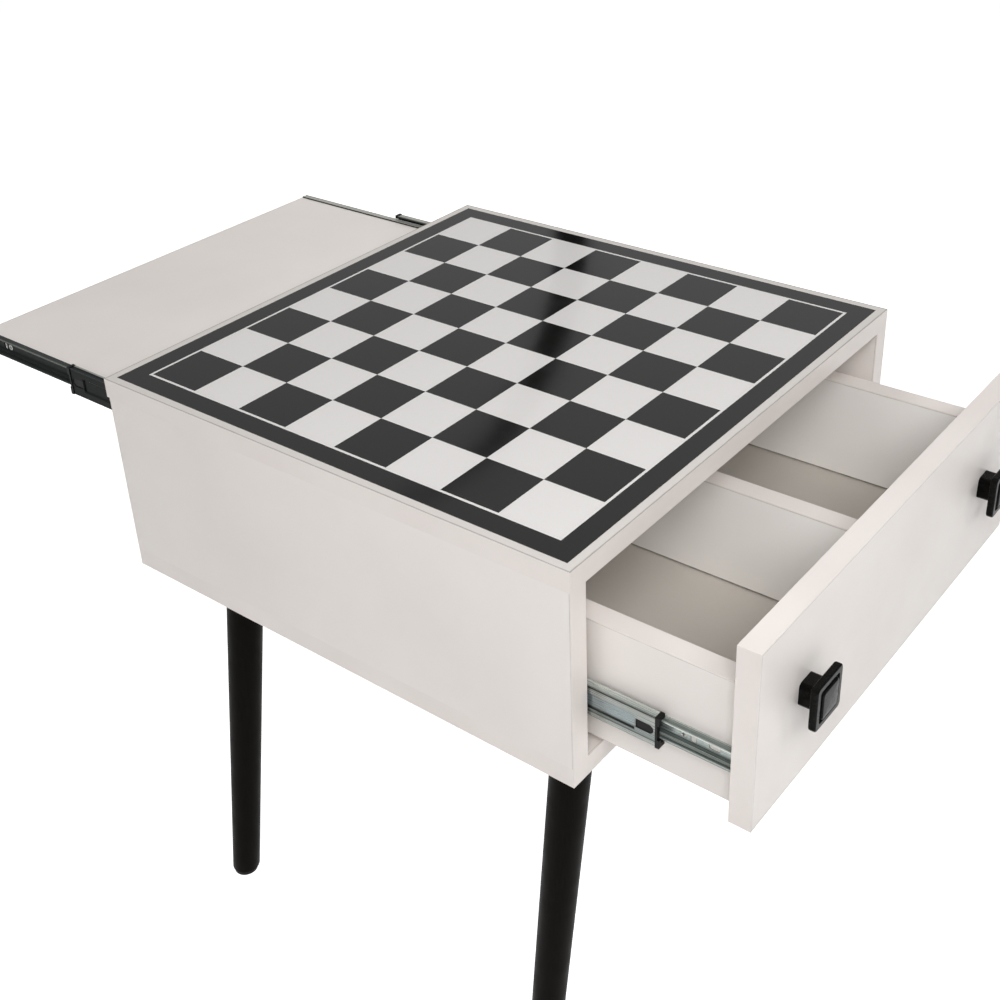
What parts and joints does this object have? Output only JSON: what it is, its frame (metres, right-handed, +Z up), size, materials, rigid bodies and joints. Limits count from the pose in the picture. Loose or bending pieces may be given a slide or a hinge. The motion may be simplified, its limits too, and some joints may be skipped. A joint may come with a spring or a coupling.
{
  "type": "chess table",
  "caption": "Square chess table: a board inlaid in a white laminate box on splayed black legs, with a divided drawer and a pull-out tray on ball-bearing slides.",
  "frame": {"origin": "on the floor, under the middle of the whole model's box as it stands with the drawer and the tray part way out", "axes": "+Z up, -Y out of the drawer's side, +Y out of the tray's side, +X to the right seen from the drawer"},
  "size_m": [0.5, 0.89, 0.575],
  "materials": {
    "white_laminate": "satin white melamine on particleboard",
    "edge_band": "satin white edging",
    "board_white": "glossy white laminate",
    "board_black": "glossy black laminate",
    "hardboard": "white-faced hardboard",
    "leg_black": "satin black lacquer on turned wood",
    "leg_plate_steel": "black powder coat",
    "glide_plastic": "black moulded plastic",
    "knob_black": "satin black lacquer",
    "zinc_steel": "zinc-plated rolled steel",
    "black_steel": "black-coated rolled steel",
    "rail_plastic": "black moulded plastic",
    "ball_steel": "polished balls in plain steel cages",
    "fastener_steel": "zinc-plated steel",
    "dowel_beech": "plain beech"
  },
  "bodies": {
    "carcass": {"top_panel": "white_laminate", "top_edge_bands": "edge_band", "board_light_squares": "board_white", "board_dark_squares": "board_black", "board_line": "board_white", "board_border": "board_black", "left_side_panel": "white_laminate", "right_side_panel": "white_laminate", "bottom_panel": "white_laminate", "carcass_edge_bands": "edge_band", "back_panel": "hardboard", "back_panel_nails": "fastener_steel", "top_dowels": "dowel_beech", "bottom_screws": "fastener_steel", "leg_front_left": "leg_black", "leg_front_right": "leg_black", "leg_rear_left": "leg_black", "leg_rear_right": "leg_black", "leg_plates": "leg_plate_steel", "leg_plate_screws": "fastener_steel", "leg_hanger_bolts": "fastener_steel", "leg_glides": "glide_plastic", "drawer_cabinet_rail_left": "zinc_steel", "drawer_cabinet_rail_right": "zinc_steel", "tray_cabinet_rail_left": "black_steel", "tray_cabinet_rail_right": "black_steel", "cabinet_rail_screws": "fastener_steel"},
    "drawer": {"drawer_front": "white_laminate", "drawer_front_edge_bands": "edge_band", "drawer_left_wall": "white_laminate", "drawer_right_wall": "white_laminate", "drawer_back_wall": "white_laminate", "drawer_divider": "white_laminate", "drawer_wall_edge_bands": "edge_band", "drawer_floor": "hardboard", "knob_left": "knob_black", "knob_right": "knob_black", "knob_screws": "fastener_steel", "drawer_dowels": "dowel_beech", "drawer_back_screws": "fastener_steel", "drawer_inner_rail_left": "zinc_steel", "drawer_inner_rail_right": "zinc_steel", "drawer_rail_screws": "fastener_steel"},
    "drawer_middle_rails": {"drawer_middle_rail_left": "zinc_steel", "drawer_middle_rail_right": "zinc_steel", "drawer_rail_bumpers": "rail_plastic"},
    "drawer_outer_balls": {"drawer_outer_ball_retainers": "ball_steel"},
    "drawer_inner_balls": {"drawer_inner_ball_retainers": "ball_steel"},
    "tray": {"tray_board": "white_laminate", "tray_edge_bands": "edge_band", "tray_inner_rail_left": "black_steel", "tray_inner_rail_right": "black_steel", "tray_rail_screws": "fastener_steel"},
    "tray_middle_rails": {"tray_middle_rail_left": "black_steel", "tray_middle_rail_right": "black_steel", "tray_rail_bumpers": "rail_plastic"},
    "tray_outer_balls": {"tray_outer_ball_retainers": "ball_steel"},
    "tray_inner_balls": {"tray_inner_ball_retainers": "ball_steel"}
  },
  "joints": [
    {"name": "drawer_slide", "type": "slide", "parent": "carcass", "child": "drawer", "axis": [0, -1, 0], "range_m": [-0.135, 0.215]},
    {"name": "drawer_middle_rail_slide", "type": "slide", "parent": "carcass", "child": "drawer_middle_rails", "axis": [0, -1, 0], "range_m": [-0.08083, 0.12842]},
    {"name": "drawer_outer_ball_slide", "type": "slide", "parent": "carcass", "child": "drawer_outer_balls", "axis": [0, -1, 0], "range_m": [-0.04066, 0.06446]},
    {"name": "drawer_inner_ball_slide", "type": "slide", "parent": "carcass", "child": "drawer_inner_balls", "axis": [0, -1, 0], "range_m": [-0.10816, 0.17196]},
    {"name": "tray_slide", "type": "slide", "parent": "carcass", "child": "tray", "axis": [0, 1, 0], "range_m": [-0.238, 0.112]},
    {"name": "tray_middle_rail_slide", "type": "slide", "parent": "carcass", "child": "tray_middle_rails", "axis": [0, 1, 0], "range_m": [-0.09094, 0.04306]},
    {"name": "tray_outer_ball_slide", "type": "slide", "parent": "carcass", "child": "tray_outer_balls", "axis": [0, 1, 0], "range_m": [-0.04572, 0.02178]},
    {"name": "tray_inner_ball_slide", "type": "slide", "parent": "carcass", "child": "tray_inner_balls", "axis": [0, 1, 0], "range_m": [-0.16472, 0.07778]}
  ],
  "couplings": [
    {"joint": "drawer_middle_rail_slide", "follows": "drawer_slide", "ratio": 0.595},
    {"joint": "drawer_outer_ball_slide", "follows": "drawer_slide", "ratio": 0.2975},
    {"joint": "drawer_inner_ball_slide", "follows": "drawer_slide", "ratio": 0.7975},
    {"joint": "tray_middle_rail_slide", "follows": "tray_slide", "ratio": 0.38},
    {"joint": "tray_outer_ball_slide", "follows": "tray_slide", "ratio": 0.19},
    {"joint": "tray_inner_ball_slide", "follows": "tray_slide", "ratio": 0.69}
  ]
}
